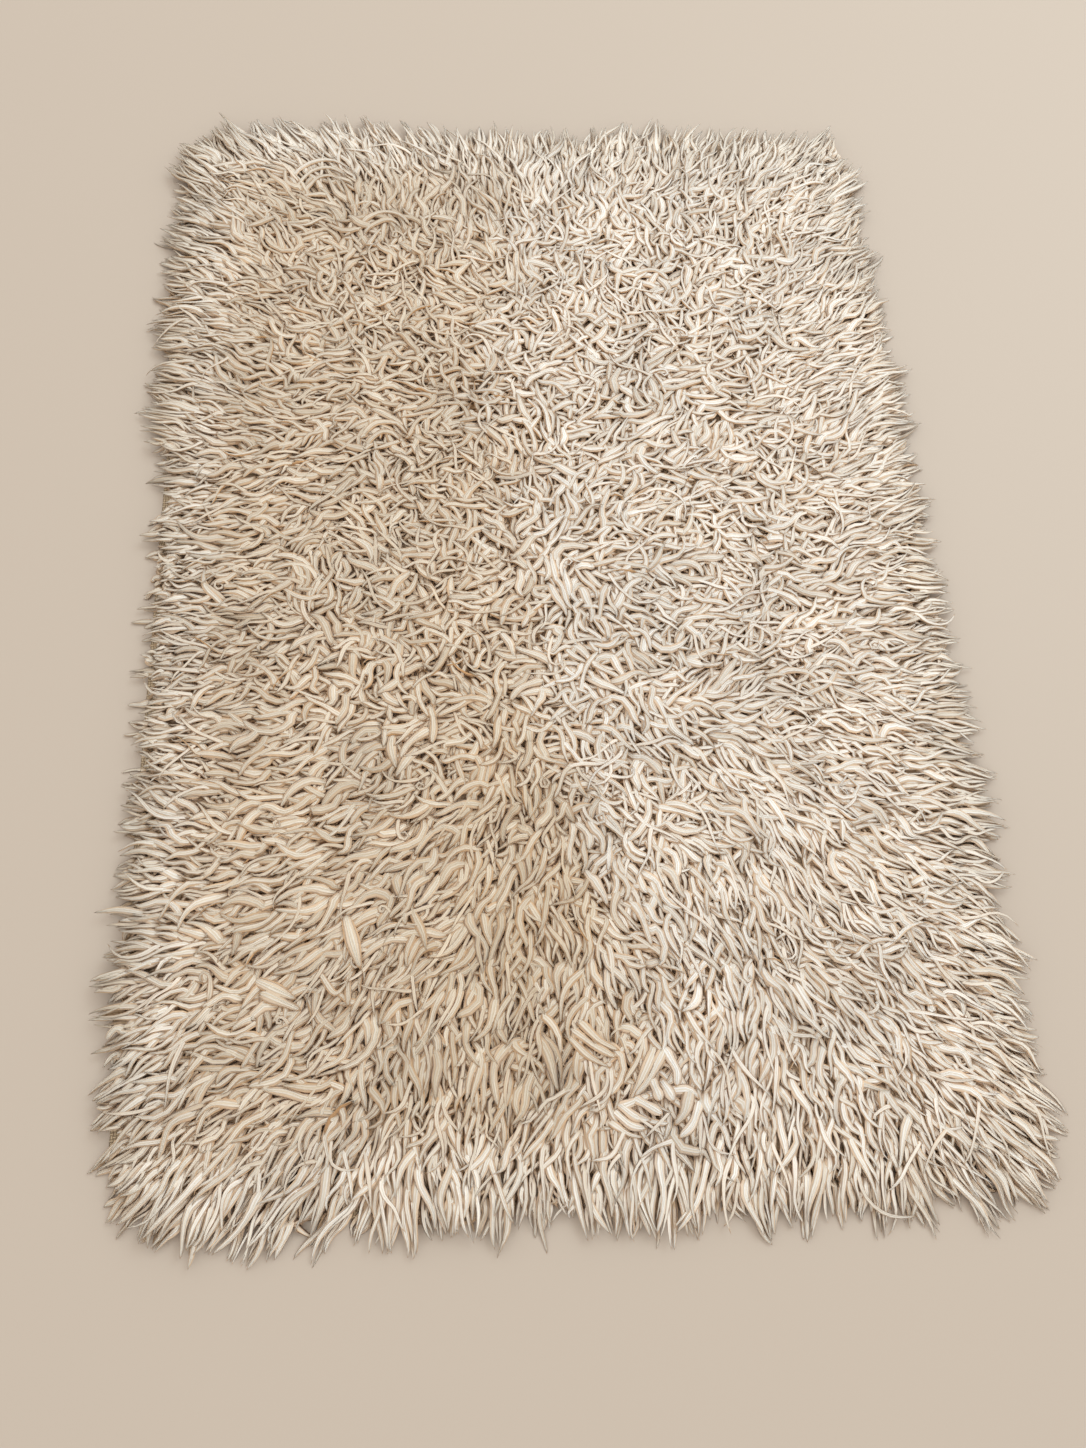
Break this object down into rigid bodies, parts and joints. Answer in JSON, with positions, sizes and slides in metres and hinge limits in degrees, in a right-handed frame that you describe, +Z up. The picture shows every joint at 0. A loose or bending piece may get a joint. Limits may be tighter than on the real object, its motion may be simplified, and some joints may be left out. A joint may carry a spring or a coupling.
{
  "type": "shag rug",
  "caption": "Rectangular floor rug of long cream wool locks combed outwards over a woven ground cloth, lying flat with its uneven rim of lock tips resting on the floor.",
  "frame": {"origin": "on the floor under the middle of the rug's bounding box", "axes": "+Z up from the floor through the pile, +Y along the rug's length towards its far end, +X to its right"},
  "size_m": [1.312, 1.912, 0.0484],
  "materials": {
    "cream_wool": "matt, softly fibrous wool"
  },
  "bodies": {
    "root": {"shag_rug": "cream_wool"}
  },
  "joints": []
}
